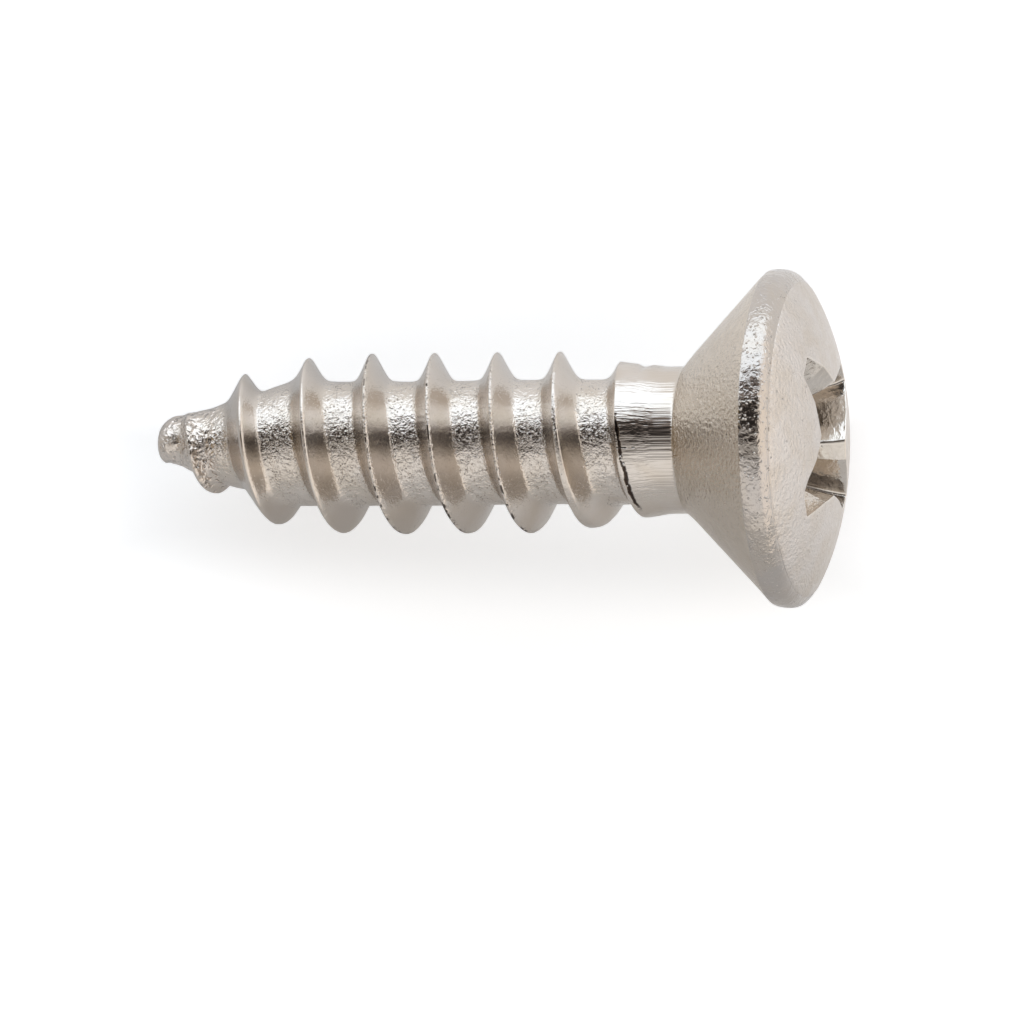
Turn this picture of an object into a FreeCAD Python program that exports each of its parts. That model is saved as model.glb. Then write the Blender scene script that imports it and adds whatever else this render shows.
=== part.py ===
"""Raised countersunk tapping screw with a cross recess, 3.5 mm thread, 13 mm long.

One cold-formed piece. It is modelled along its own axis, with the nose at zero and the
head above, and then laid on its head rim and its thread, as it comes to rest on a table.
"""
import FreeCAD, Part
import Sketcher
import os
from math import atan2, cos, degrees, radians, sin, sqrt, tan

V = FreeCAD.Vector
FULL_TURN = 360
RIGHT_ANGLE = 90
CORE_SIDES = 8
CORE_STEP = FULL_TURN / CORE_SIDES

# Driving sizes in millimetres and degrees, one cell each.
SIZES = {
    # Thread: one groove runs from the nose to the plain shank.
    "thread_diameter": 3.56,
    "root_diameter": 2.47,
    "thread_pitch": 1.27,
    "crest_width": 0.10,
    "flank_angle": 30,
    "root_bevel": 0.07,
    "groove_start": 0.428,
    "start_turn": 0.40,
    "groove_overcut": 0.04,
    "point_turns": 1.6,
    "full_turns": 5.5,
    "fade_turns": 0.5,
    "fade_angle": 23,
    "crest_fade_turns": 1.5,
    # Point: a short blunt nose, then a cone that swells into the full crest.
    "nose_diameter": 0.84,
    "nose_length": 0.38,
    "nose_flare": 0.05,
    "nose_round": 0.16,
    "point_length": 3.9,
    "crest_cone_angle": 35.5,
    "root_cone_angle": 20.6,
    # Shank and head.
    "shank_diameter": 2.90,
    "plain_shank_length": 0.65,
    "neck_round": 0.12,
    "head_diameter": 6.62,
    "seat_angle": 46.5,
    "land_height": 0.43,
    "land_round": 0.13,
    "dome_height": 0.87,
    # Cross recess: four wings round a core with eight drafted facets.
    "recess_span": 4.30,
    "recess_depth": 1.90,
    "recess_turn": 43.5,
    "wing_width": 0.64,
    "wing_slope": 26.5,
    "floor_slope": 28,
    "core_radius": 1.10,
    "core_corner": 70,
    "core_draft": 5.75,
    "core_floor_share": 0.9,
    "recess_overcut": 0.2,
}

# Sizes that follow from the ones above.
DERIVED = {
    "crest_radius": "thread_diameter / 2",
    "root_radius": "root_diameter / 2",
    "shank_radius": "shank_diameter / 2",
    "head_radius": "head_diameter / 2",
    "nose_radius": "nose_diameter / 2",
    # Groove section: a flat floor, two bevelled corners and two straight flanks.
    "groove_depth": "crest_radius - root_radius",
    "groove_reach": "groove_depth + groove_overcut",
    "floor_half": "(thread_pitch - crest_width) / 2 - groove_depth * tan(flank_angle * 1deg)",
    "mouth_half": "floor_half + groove_reach * tan(flank_angle * 1deg)",
    "bevel_out": "root_bevel * cos(flank_angle * 1deg)",
    "bevel_outer_half": "floor_half + root_bevel * sin(flank_angle * 1deg)",
    "bevel_inner_half": "floor_half - root_bevel",
    # Stations along the screw's axis.
    "full_start": "groove_start + point_turns * thread_pitch",
    "fade_start": "full_start + full_turns * thread_pitch",
    "turns_before_full": "start_turn + point_turns",
    "turns_before_fade": "turns_before_full + full_turns",
    "thread_end": "fade_start + fade_turns * thread_pitch",
    "crest_fade_start": "thread_end - crest_fade_turns * thread_pitch",
    "seat_start": "thread_end + plain_shank_length",
    "land_start": "seat_start + (head_radius - shank_radius) / tan(seat_angle * 1deg)",
    "land_end": "land_start + land_height",
    "dome_top": "land_end + dome_height",
    "dome_radius": "(head_radius ^ 2 + dome_height ^ 2) / (2 * dome_height)",
    # Crest envelope of the point: a cone, then an arc tangent to it and to the full crest.
    "nose_edge": "nose_radius + nose_flare",
    "cone_corner": "nose_length + (crest_radius - nose_edge) / tan(crest_cone_angle * 1deg)",
    "cone_run": "point_length - cone_corner",
    "ogive_radius": "cone_run / tan(crest_cone_angle / 2 * 1deg)",
    "cone_end": "cone_corner - cone_run * cos(crest_cone_angle * 1deg)",
    "cone_end_radius": "crest_radius - cone_run * sin(crest_cone_angle * 1deg)",
    # Recess: its wings end on one shallow cone, and so does its core.
    "recess_top": "dome_top + recess_overcut",
    "recess_floor": "dome_top - recess_depth",
    "span_half": "recess_span / 2",
    "span_level": "dome_top - dome_radius + sqrt(dome_radius ^ 2 - span_half ^ 2)",
    "wing_top": "span_half + (recess_top - span_level) * tan(wing_slope * 1deg)",
    "wing_foot": "span_half - (span_level - recess_floor) * tan(wing_slope * 1deg)",
    "recess_tip": "recess_floor - wing_foot * tan(floor_slope * 1deg)",
    "draft_rate": "tan(core_draft * 1deg)",
    "core_top": "core_radius + recess_overcut * draft_rate",
    "core_at_tip": "core_radius - (dome_top - recess_tip) * draft_rate",
    "core_foot": "core_at_tip / (1 - draft_rate * tan(floor_slope * 1deg))",
    "core_floor": "recess_tip + core_foot * tan(floor_slope * 1deg)",
    "core_blend": f"sin(core_corner * 1deg) / sin(({FULL_TURN / 2 - CORE_STEP} - core_corner) * 1deg)",
    "cone_rim": "core_foot * core_floor_share",
    "cone_level": "recess_tip + cone_rim * tan(floor_slope * 1deg)",
    "cone_top": "core_floor + recess_overcut",
}

NEAR = 1e-6
# The crest runs half a turn from the middle of its groove.
CREST_TURN = 0.5
# The floor is three quarters of a turn round from where the turns are counted.
FLOOR_TURN = 0.75
# Any cut that belongs to the screw takes more than this, in cubic millimetres.
LEAST_CUT = 0.05


def fill_sheet(doc):
    """Write the driving sizes and the sizes that follow from them into a sheet."""
    sheet = doc.addObject("Spreadsheet::Sheet", "sizes")
    rows = [(name, str(value)) for name, value in SIZES.items()]
    rows += [(name, "=" + formula) for name, formula in DERIVED.items()]
    for row, (name, text) in enumerate(rows, start=1):
        sheet.set(f"A{row}", name)
        sheet.set(f"B{row}", text)
        sheet.setAlias(f"B{row}", name)
    doc.recompute()
    return sheet


def origin_part(body, role):
    """Return the body's own plane or axis that has this role."""
    return next(item for item in body.Origin.OriginFeatures if item.Role == role)


def axial_sketch(body, name, turn="0"):
    """Start a sketch on a plane through the screw's axis: x is radius, y is height."""
    sketch = body.newObject("Sketcher::SketchObject", name)
    sketch.AttachmentSupport = (origin_part(body, "XZ_Plane"), [""])
    sketch.MapMode = "FlatFace"
    sketch.AttachmentOffset = FreeCAD.Placement(V(), FreeCAD.Rotation(V(0, 1, 0), 0))
    sketch.setExpression("AttachmentOffset.Rotation.Angle", turn)
    return sketch


def level_sketch(body, name, level):
    """Start a sketch square to the screw's axis at a level given as a formula."""
    sketch = body.newObject("Sketcher::SketchObject", name)
    sketch.AttachmentSupport = (origin_part(body, "XY_Plane"), [""])
    sketch.MapMode = "FlatFace"
    sketch.setExpression("AttachmentOffset.Base.z", level)
    return sketch


def bind(sketch, kind, operands, formula):
    """Add a dimension to the sketch and tie it to a formula of the sheet."""
    value = float(sketch.evalExpression(formula))
    index = sketch.addConstraint(Sketcher.Constraint(kind, *operands, value))
    sketch.setExpression(f"Constraints[{index}]", formula)


def arc_between(begin, finish, radius, centre_side):
    """Return an arc from begin to finish whose centre lies left (1) or right (-1)."""
    chord = finish - begin
    middle = (begin + finish) * 0.5
    rise = sqrt(radius ** 2 - (chord.Length / 2) ** 2)
    aside = V(-chord.y, chord.x, 0).normalize() * rise * centre_side
    centre = middle + aside
    first, last = (begin, finish) if centre_side > 0 else (finish, begin)
    angles = [atan2(point.y - centre.y, point.x - centre.x) for point in (first, last)]
    return Part.ArcOfCircle(Part.Circle(centre, V(0, 0, 1), radius), *angles)


def closed_outline(sketch, corners, arcs=None):
    """Draw a closed outline through corners given as pairs of formulas.

    arcs names the sides that are round: side number to radius formula and centre side.
    """
    arcs = arcs or {}
    spots = [V(*(float(sketch.evalExpression(text)) for text in corner), 0) for corner in corners]
    ends = []
    for side, begin in enumerate(spots):
        finish = spots[(side + 1) % len(spots)]
        if side in arcs:
            radius, centre_side = arcs[side]
            value = float(sketch.evalExpression(radius))
            edge = sketch.addGeometry(arc_between(begin, finish, value, centre_side), False)
            ends.append((edge, 1, 2) if centre_side > 0 else (edge, 2, 1))
        else:
            edge = sketch.addGeometry(Part.LineSegment(begin, finish), False)
            ends.append((edge, 1, 2))
    for side, (edge, _, last) in enumerate(ends):
        next_edge, next_first, _ = ends[(side + 1) % len(ends)]
        sketch.addConstraint(Sketcher.Constraint("Coincident", edge, last, next_edge, next_first))
    for side, (across, up) in enumerate(corners):
        edge, first, _ = ends[side]
        for kind, formula, axis in (("DistanceX", across, -2), ("DistanceY", up, -1)):
            if formula == "0":
                sketch.addConstraint(Sketcher.Constraint("PointOnObject", edge, first, axis))
            else:
                bind(sketch, kind, (-1, 1, edge, first), formula)
        if side in arcs:
            bind(sketch, "Radius", (edge,), arcs[side][0])


def circles_at(shape, radius, level):
    """Return the names of the edges that are circles of this radius at this level."""
    def matches(edge):
        if edge.Degenerated or not isinstance(edge.Curve, Part.Circle):
            return False
        circle = edge.Curve
        return abs(circle.Radius - radius) < NEAR and abs(circle.Center.z - level) < NEAR
    return [f"Edge{number}" for number, edge in enumerate(shape.Edges, 1) if matches(edge)]


def add_blank(doc, body):
    """Turn the blank before threading: nose, crest envelope, shank, seat, land and dome."""
    sketch = axial_sketch(body, "blank_outline")
    corners = [
        ("0", "0"),
        ("sizes.nose_radius", "0"),
        ("sizes.nose_edge", "sizes.nose_length"),
        ("sizes.cone_end_radius", "sizes.cone_end"),
        ("sizes.crest_radius", "sizes.point_length"),
        ("sizes.crest_radius", "sizes.crest_fade_start"),
        ("sizes.shank_radius", "sizes.thread_end"),
        ("sizes.shank_radius", "sizes.seat_start"),
        ("sizes.head_radius", "sizes.land_start"),
        ("sizes.head_radius", "sizes.land_end"),
        ("0", "sizes.dome_top"),
    ]
    ogive_side, dome_side = 3, 9
    arcs = {ogive_side: ("sizes.ogive_radius", 1), dome_side: ("sizes.dome_radius", 1)}
    closed_outline(sketch, corners, arcs)
    blank = body.newObject("PartDesign::Revolution", "blank")
    blank.Profile = sketch
    blank.ReferenceAxis = (sketch, ["V_Axis"])
    blank.Angle = FULL_TURN
    doc.recompute()


def round_edges(doc, body, sheet, name, size, rims):
    """Round the circular edges that lie at the given radius and level cells."""
    base = body.Tip
    edges = [edge for radius, level in rims
             for edge in circles_at(base.Shape, sheet.get(radius), sheet.get(level) if level else 0)]
    fillet = body.newObject("PartDesign::Fillet", name)
    fillet.Base = (base, edges)
    fillet.setExpression("Radius", f"sizes.{size}")
    doc.recompute()


def groove_section(body, name, level, turned):
    """Draw the groove's section where its centre passes a level, some turns round."""
    sketch = axial_sketch(body, name, f"mod({turned}; 1) * {FULL_TURN}")
    floor = "sizes.root_radius"
    mouth = f"{floor} + sizes.groove_reach"
    bevel = f"{floor} + sizes.bevel_out"
    corners = [
        (floor, f"{level} + sizes.bevel_inner_half"),
        (floor, f"{level} - sizes.bevel_inner_half"),
        (bevel, f"{level} - sizes.bevel_outer_half"),
        (mouth, f"{level} - sizes.mouth_half"),
        (mouth, f"{level} + sizes.mouth_half"),
        (bevel, f"{level} + sizes.bevel_outer_half"),
    ]
    closed_outline(sketch, corners)
    return sketch


def confirm_cut(doc, body, cut, whole):
    """Recompute, and stop if the new cut took nothing off the volume it began with."""
    body.Tip = cut
    doc.recompute()
    taken = whole - cut.Shape.Volume
    if taken < LEAST_CUT:
        raise RuntimeError(f"{cut.Name} takes only {taken:.4f} cubic millimetres")
    print(f"{cut.Name} takes {taken:.3f} cubic millimetres")


def cut_groove(doc, body, name, section, turns, angle="0", towards_nose=False):
    """Cut one run of the thread groove; an angle makes its floor follow a cone."""
    whole = body.Tip.Shape.Volume
    groove = body.newObject("PartDesign::SubtractiveHelix", name)
    groove.Profile = section
    groove.ReferenceAxis = (section, ["V_Axis"])
    groove.Mode = "pitch-turns-angle"
    groove.HasBeenEdited = True
    groove.Reversed = towards_nose
    groove.setExpression("Pitch", "sizes.thread_pitch")
    groove.setExpression("Turns", turns)
    groove.setExpression("Angle", angle)
    confirm_cut(doc, body, groove, whole)


def cut_core(doc, body):
    """Cut the recess's core: drafted facets, in pairs at each corner of the cross."""
    whole = body.Tip.Shape.Volume
    levels = {
        "core_mouth": ("sizes.recess_top", "sizes.core_top"),
        "core_base": ("sizes.core_floor", "sizes.core_foot"),
    }
    sketches = []
    for name, (level, radius) in levels.items():
        sketch = level_sketch(body, name, level)
        corners = []
        for side in range(CORE_SIDES):
            between_wings = side % 2
            reach = radius if between_wings else f"{radius} * sizes.core_blend"
            angle = f"(sizes.recess_turn + {side * CORE_STEP}) * 1deg"
            corners.append((f"{reach} * cos({angle})", f"{reach} * sin({angle})"))
        closed_outline(sketch, corners)
        sketches.append(sketch)
    doc.recompute()
    core = body.newObject("PartDesign::SubtractiveLoft", "recess_core")
    core.Profile = sketches[0]
    core.Sections = sketches[1:]
    core.Ruled = True
    confirm_cut(doc, body, core, whole)


def cut_core_floor(doc, body):
    """Cut the cone at the bottom of the recess."""
    whole = body.Tip.Shape.Volume
    sketch = axial_sketch(body, "core_floor_section")
    corners = [
        ("0", "sizes.recess_tip"),
        ("sizes.cone_rim", "sizes.cone_level"),
        ("sizes.cone_rim", "sizes.cone_top"),
        ("0", "sizes.cone_top"),
    ]
    closed_outline(sketch, corners)
    floor = body.newObject("PartDesign::Groove", "recess_cone")
    floor.Profile = sketch
    floor.ReferenceAxis = (sketch, ["V_Axis"])
    floor.Angle = FULL_TURN
    confirm_cut(doc, body, floor, whole)


def cut_wings(doc, body):
    """Cut one pair of wings through the axis, then repeat it square to itself."""
    whole = body.Tip.Shape.Volume
    sketch = axial_sketch(body, "wing_section", "sizes.recess_turn")
    corners = [
        ("0", "sizes.recess_tip"),
        ("sizes.wing_foot", "sizes.recess_floor"),
        ("sizes.wing_top", "sizes.recess_top"),
        ("-sizes.wing_top", "sizes.recess_top"),
        ("-sizes.wing_foot", "sizes.recess_floor"),
    ]
    closed_outline(sketch, corners)
    wings = body.newObject("PartDesign::Pocket", "wing_pair")
    wings.Profile = sketch
    wings.Midplane = True
    wings.setExpression("Length", "sizes.wing_width")
    confirm_cut(doc, body, wings, whole)
    whole = wings.Shape.Volume
    cross = body.newObject("PartDesign::PolarPattern", "wings")
    cross.Originals = [wings]
    cross.Axis = (origin_part(body, "Z_Axis"), [""])
    cross.Angle = RIGHT_ANGLE
    cross.Occurrences = 2
    confirm_cut(doc, body, cross, whole)


def envelope_radius(sheet, level):
    """Return the radius that the thread's crest reaches at this level."""
    if level < sheet.get("cone_end"):
        run = level - sheet.get("nose_length")
        return sheet.get("nose_edge") + run * tan(radians(sheet.get("crest_cone_angle")))
    if level < sheet.get("point_length"):
        swell = sheet.get("ogive_radius")
        short = sheet.get("point_length") - level
        return sheet.get("crest_radius") - swell + sqrt(swell ** 2 - short ** 2)
    return sheet.get("crest_radius")


def lean_at_rest(sheet):
    """Return the angle between the floor and the axis when head and thread both touch.

    The crest passes the floor side once a turn, and the crest that touches is the one
    that gives the least lean.
    """
    pitch = sheet.get("thread_pitch")
    turns = CREST_TURN + FLOOR_TURN - sheet.get("start_turn")
    crest = sheet.get("groove_start") + pitch * turns
    leans = []
    while crest < sheet.get("crest_fade_start"):
        drop = sheet.get("head_radius") - envelope_radius(sheet, crest)
        leans.append(atan2(drop, sheet.get("land_start") - crest))
        crest += pitch
    return min(leans)


def lay_down(doc, body, sheet):
    """Turn the finished screw on to its side and stand it over the origin."""
    lean = lean_at_rest(sheet)
    along = V(cos(lean), 0, sin(lean))
    across = V(0, 1, 0)
    matrix = FreeCAD.Matrix()
    for column, axis in enumerate((across, along.cross(across), along)):
        for row, value in enumerate(axis):
            setattr(matrix, f"A{row + 1}{column + 1}", value)
    turn = FreeCAD.Rotation(matrix)
    body.Placement = FreeCAD.Placement(V(), turn)
    doc.recompute()
    box = body.Shape.optimalBoundingBox(False, False)
    body.Placement = FreeCAD.Placement(V(-box.Center.x, -box.Center.y, -box.ZMin), turn)
    doc.recompute()


def check(doc, body):
    """Stop if any feature failed or the finished solid is not one sound solid."""
    failed = [item.Name for item in doc.Objects
              if any(word in item.State for word in ("Invalid", "Error"))]
    shape = body.Shape
    if failed or shape.isNull() or not shape.isValid() or len(shape.Solids) != 1:
        raise RuntimeError(f"{body.Label} is unsound: {failed or shape.ShapeType}")
    print(f"{body.Label} is one solid of {shape.Volume:.2f} cubic millimetres")


def build():
    """Build the screw, lay it down and write its file."""
    doc = FreeCAD.newDocument("raised_countersunk_screw")
    sheet = fill_sheet(doc)
    body = doc.addObject("PartDesign::Body", "screw")
    body.Label = "screw"
    add_blank(doc, body)
    round_edges(doc, body, sheet, "nose_rounding", "nose_round", [("nose_radius", None)])
    round_edges(doc, body, sheet, "neck_rounding", "neck_round", [("shank_radius", "seat_start")])
    rims = [("head_radius", "land_start"), ("head_radius", "land_end")]
    round_edges(doc, body, sheet, "land_rounding", "land_round", rims)
    section = groove_section(body, "groove_section", "sizes.full_start", "sizes.turns_before_full")
    cut_groove(doc, body, "full_groove", section, "sizes.full_turns")
    cut_groove(doc, body, "point_groove", section, "sizes.point_turns", "-sizes.root_cone_angle", True)
    section = groove_section(body, "fade_section", "sizes.fade_start", "sizes.turns_before_fade")
    cut_groove(doc, body, "fade_groove", section, "sizes.fade_turns", "sizes.fade_angle")
    cut_core(doc, body)
    cut_core_floor(doc, body)
    cut_wings(doc, body)
    lay_down(doc, body, sheet)
    check(doc, body)
    print(f"its axis leans {degrees(lean_at_rest(sheet)):.2f} degrees at rest")
    os.makedirs("parts", exist_ok=True)
    body.Shape.exportStep(f"parts/{body.Label}.step")


build()
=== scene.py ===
"""Surface, finish, table, light and camera of a raised countersunk tapping screw.

The screw is one nickel-plated piece. Its skin is one closed mesh that is built in the screw's
own frame: a station along the axis from the nose, in millimetres, and a turn round the axis.
"""

import logging
import math
from dataclasses import dataclass, field
from enum import Enum

import bpy
import numpy as np
from mathutils import Matrix, Vector

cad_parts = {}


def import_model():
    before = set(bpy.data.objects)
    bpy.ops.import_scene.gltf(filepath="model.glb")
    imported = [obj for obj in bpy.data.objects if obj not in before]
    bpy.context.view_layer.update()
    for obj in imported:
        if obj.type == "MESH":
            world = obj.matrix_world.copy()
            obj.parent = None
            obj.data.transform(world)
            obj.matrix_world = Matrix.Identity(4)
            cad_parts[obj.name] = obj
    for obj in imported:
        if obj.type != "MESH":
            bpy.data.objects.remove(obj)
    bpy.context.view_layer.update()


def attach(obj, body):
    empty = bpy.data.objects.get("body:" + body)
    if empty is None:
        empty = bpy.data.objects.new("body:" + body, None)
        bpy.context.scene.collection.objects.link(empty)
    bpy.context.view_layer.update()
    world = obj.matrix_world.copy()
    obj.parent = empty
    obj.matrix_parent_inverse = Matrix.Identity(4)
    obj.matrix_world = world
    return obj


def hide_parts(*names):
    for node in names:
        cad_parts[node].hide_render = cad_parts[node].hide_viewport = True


MM = 0.001
MICRON = 0.000001
TURN = 2 * math.pi
HALF_TURN_DEG = 180
COLUMNS = 256
log = logging.getLogger("screw")

Span = tuple[float, float]
Line = tuple[Span, ...]
Display = tuple[int, int, int]
Light = tuple[float, float, float, float]
Socket = bpy.types.NodeSocket
Value = Socket | float | tuple[float, ...]


class Zone(Enum):
    """The parts of the skin that are finished differently."""

    NOSE = 0
    THREAD = 1
    SHANK = 2
    SEAT = 3
    LAND = 4
    DOME = 5
    RECESS = 6


def ease(value: np.ndarray, start: float, end: float) -> np.ndarray:
    """Return a smooth step from 0 at start to 1 at end.

    Args:
        value: where to take the step.
        start: the value at which the step begins.
        end: the value at which the step is complete.

    Returns:
        The step's height at each value.
    """
    share = np.clip((value - start) / (end - start), 0, 1)
    return share * share * (3 - 2 * share)


def smooth_table(value: np.ndarray, table: Line) -> np.ndarray:
    """Return a smooth curve through a table's points that never overshoots them.

    Args:
        value: where to read the curve.
        table: pairs of position and height, in rising order of position.

    Returns:
        The curve's height at each value.
    """
    x, y = np.array(table).T
    step = np.diff(x)
    slope = np.diff(y) / step
    lean = np.zeros_like(y)
    product = slope[:-1] * slope[1:]
    inner = 2 * product / np.where(product > 0, slope[:-1] + slope[1:], 1)
    lean[1:-1] = np.where(product > 0, inner, 0)
    lean[0], lean[-1] = slope[0], slope[-1]
    at = np.clip(value, x[0], x[-1])
    left = np.clip(np.searchsorted(x, at, side="right") - 1, 0, len(step) - 1)
    width = step[left]
    share = (at - x[left]) / width
    square, cube = share ** 2, share ** 3
    return ((2 * cube - 3 * square + 1) * y[left] + (cube - 2 * square + share) * width * lean[left]
            + (3 * square - 2 * cube) * y[left + 1] + (cube - square) * width * lean[left + 1])


def row_of(x: np.ndarray, y: np.ndarray, station: np.ndarray) -> np.ndarray:
    """Return points of the screw's frame from their three coordinates."""
    return np.stack([x, y, station], -1)


@dataclass(frozen=True)
class Pose:
    """How the screw lies: its axis leans up from the table towards the head."""

    lean_deg: float = 9.64
    nose_mm: tuple[float, float, float] = (-6.82308, 0.0, 1.17408)

    def matrix(self) -> Matrix:
        """Return the move from the screw's own frame to the table's.

        Returns:
            A matrix that takes and gives metres.
        """
        lean = math.radians(self.lean_deg)
        along = Vector((math.cos(lean), 0, math.sin(lean)))
        across = Vector((0, 1, 0))
        turn = Matrix((across, along.cross(across), along)).transposed()
        return Matrix.Translation(Vector(self.nose_mm) * MM) @ turn.to_4x4()


@dataclass(frozen=True)
class Ripple:
    """Small rolled unevenness: a seeded sum of waves round and along the screw."""

    height: float
    waves: int = 24
    finest: float = 9.0
    most_round: int = 12
    seed: int = 1

    def at(self, turned: np.ndarray, station: np.ndarray) -> np.ndarray:
        """Return the unevenness.

        Args:
            turned: angle round the axis, in radians.
            station: distance from the nose, in millimetres.

        Returns:
            The height above the even surface, in millimetres.
        """
        dice = np.random.default_rng(self.seed)
        total = np.zeros(np.broadcast(turned, station).shape)
        for _ in range(self.waves):
            round_count = dice.integers(-self.most_round, self.most_round + 1)
            along = dice.uniform(-self.finest, self.finest)
            total += np.cos(round_count * turned + along * station + dice.uniform(0, TURN))
        return self.height * total / math.sqrt(self.waves)


@dataclass(frozen=True)
class Notch:
    """The notch that the groove's tail leaves in the plain shank, in millimetres and radians."""

    depth: float = 0.055
    station: float = 9.90
    lean: float = 0.05
    begins: Span = (-0.9, -0.1)
    stops: Span = (0.15, 0.62)
    narrow: float = 0.05
    widening: float = 0.11

    def at(self, turned: np.ndarray, station: np.ndarray) -> np.ndarray:
        """Return the depth of the notch.

        Args:
            turned: angle round the axis, in radians.
            station: distance from the nose, in millimetres.

        Returns:
            The depth below the even surface, in millimetres.
        """
        around = (turned + math.pi) % TURN - math.pi
        reach = ease(around, *self.begins) * (1 - ease(around, *self.stops))
        off = np.abs(station - (self.station + self.lean * around))
        return self.depth * reach * np.clip(1 - off / (self.narrow + self.widening * reach), 0, 1)


@dataclass
class Thread:
    """The rolled thread with its point, as a radius for every turn and station.

    The groove has one start. Turns are counted from the first crest. The lines are pairs of
    station and value; a flank's value is the tangent of its angle to the cross-section.
    """

    pitch: float = 1.27
    first_crest: float = 0.555
    crest_flat: float = 0.045
    head_flank_tan: float = math.tan(math.radians(30))
    crest_round: float = 0.022
    collar_round: float = 0.018
    root_round: float = 0.045
    full_crest: float = 1.785
    full_root: float = 1.222
    full_from: float = 4.4
    least_depth: float = 0.02
    open_air: float = 5.0
    start: float = 0.20
    end: float = 10.30
    fade_from: float = 6.5
    fade_rise: float = 0.60
    nose_turns: Span = (-1.0, -0.5)
    nose_rise: float = 0.3
    floor_edge: Span = (-0.05, 0.03)
    floor_fade: Span = (0.25, 0.5)
    half_pitch_rows: tuple[float, ...] = (
        0, .02, .045, .075, .11, .16, .22, .28, .32, .35, .38, .41, .45, .5, .56, .635,
    )
    crest_line: Line = (
        (0.0, 0.30), (0.08, 0.36), (0.2, 0.44), (0.32, 0.49), (0.505, 0.52), (0.62, 0.60),
        (0.749, 0.76), (0.95, 0.95), (1.108, 0.99), (1.3, 1.06), (1.825, 1.415), (2.46, 1.60),
        (3.095, 1.70), (3.73, 1.762), (4.365, 1.785), (8.1, 1.785), (8.81, 1.68), (9.445, 1.57),
        (10.08, 1.485), (10.3, 1.449),
    )
    root_line: Line = (
        (0.0, 0.34), (0.505, 0.53), (0.75, 0.60), (0.87, 0.643), (1.11, 0.71), (1.3, 0.78),
        (1.57, 0.86), (1.78, 0.90), (2.15, 1.045), (2.46, 1.15), (2.75, 1.21), (3.1, 1.228),
        (4.5, 1.222), (10.3, 1.222),
    )
    nose_flank_line: Line = (
        (0.0, 1.3), (1.0, 1.15), (1.7, 0.98), (2.3, 0.95), (2.9, 0.62), (3.4, 0.55), (4.2, 0.515),
        (10.3, 0.515),
    )
    shift_line: Line = (
        (0.0, 0.0), (0.6, -0.04), (1.19, -0.10), (1.825, -0.05), (2.46, -0.06), (3.1, -0.01),
        (4.365, 0.005), (8.4, 0.005), (9.0, 0.03), (9.3, 0.06), (9.5, 0.05), (9.7, -0.02),
        (10.08, -0.02), (10.4, 0.0),
    )
    drift_line: Line = (
        (0.0, 0.06), (0.1, 0.085), (0.2, 0.105), (0.38, 0.125), (0.6, 0.10), (1.2, 0.05), (2.4, 0.03),
        (3.69, 0.017), (4.9, -0.003), (6.2, -0.008), (7.5, -0.012), (8.9, -0.03), (9.5, -0.04),
        (10.2, -0.018), (10.7, -0.018), (10.95, 0.02), (12.3, 0.015), (12.6, -0.012), (13.0, -0.04),
        (13.3, -0.035), (13.8, 0.03),
    )
    notch: Notch = field(default_factory=Notch)
    ripple: Ripple = field(default_factory=lambda: Ripple(0.004, seed=3))
    ripple_begins: Span = (0.1, 0.6)
    ripple_stops: Span = (9.8, 10.2)

    def spacing(self) -> np.ndarray:
        """Return where the rows of one pitch lie, close together on crest and fillets.

        Returns:
            Shares of the pitch from one crest to the next, the first one 0.
        """
        half = np.array(self.half_pitch_rows)
        whole = np.concatenate([half, self.pitch - half[-2:0:-1]])
        return whole / self.pitch

    def crest(self, station: np.ndarray) -> np.ndarray:
        """Return the radius that the crest reaches at a station."""
        return smooth_table(station, self.crest_line)

    def root(self, station: np.ndarray) -> np.ndarray:
        """Return the radius of the groove's floor at a station."""
        return smooth_table(station, self.root_line)

    def shape(self, turned: np.ndarray, station: np.ndarray) -> tuple[np.ndarray, np.ndarray]:
        """Return the radius and how much of it is groove floor.

        The blank and the two nearest grooves are blended, and the smallest radius wins.

        Args:
            turned: angle round the axis, in radians.
            station: distance from the nose, in millimetres.

        Returns:
            The radius in millimetres, and a share that is 1 on the floor and 0 on the flanks.
        """
        turn = turned / TURN
        rolled = self.unshifted(station)
        count = (rolled - self.first_crest) / self.pitch - turn
        crest = self.crest(station)
        root = self.root(station)
        depth = np.where(station < self.full_from, np.maximum(crest - root, self.least_depth),
                         self.full_crest - self.full_root)
        soft = np.where(count > self.fade_from, self.collar_round, self.crest_round)
        nose_flank = smooth_table(station, self.nose_flank_line)
        total = np.exp(-crest / soft)
        floor_share = np.zeros(count.shape)
        near = np.floor(count)
        beside = np.where(count - near > 0.5, near + 1, near - 1)
        for groove in (near, beside):
            centre = self.first_crest + self.pitch * (groove + 0.5 + turn)
            wound = groove + turn
            fading = np.maximum(wound - self.fade_from, 0)
            floor = root + fading * self.fade_rise + self.nose_rise * (1 - ease(wound, *self.nose_turns))
            flank_tan = np.where(rolled > centre, nose_flank, self.head_flank_tan)
            out = np.abs(rolled - centre) - (self.pitch - self.crest_flat) / 2 + depth * flank_tan
            wall = self.root_round * np.logaddexp(0, out / self.root_round) / flank_tan
            total += np.exp(-np.minimum(floor + wall, self.open_air) / soft)
            on_floor = (1 - ease(out, *self.floor_edge)) * (1 - ease(fading, *self.floor_fade))
            floor_share = np.maximum(floor_share, on_floor)
        return -soft * np.log(total), floor_share

    def drift(self, station: np.ndarray) -> np.ndarray:
        """Return how far the blank has moved off the axis at a station."""
        return smooth_table(station, self.drift_line)

    def shifted(self, rolled: np.ndarray) -> np.ndarray:
        """Return the true station of a point of the even helix."""
        return rolled + smooth_table(rolled, self.shift_line)

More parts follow.
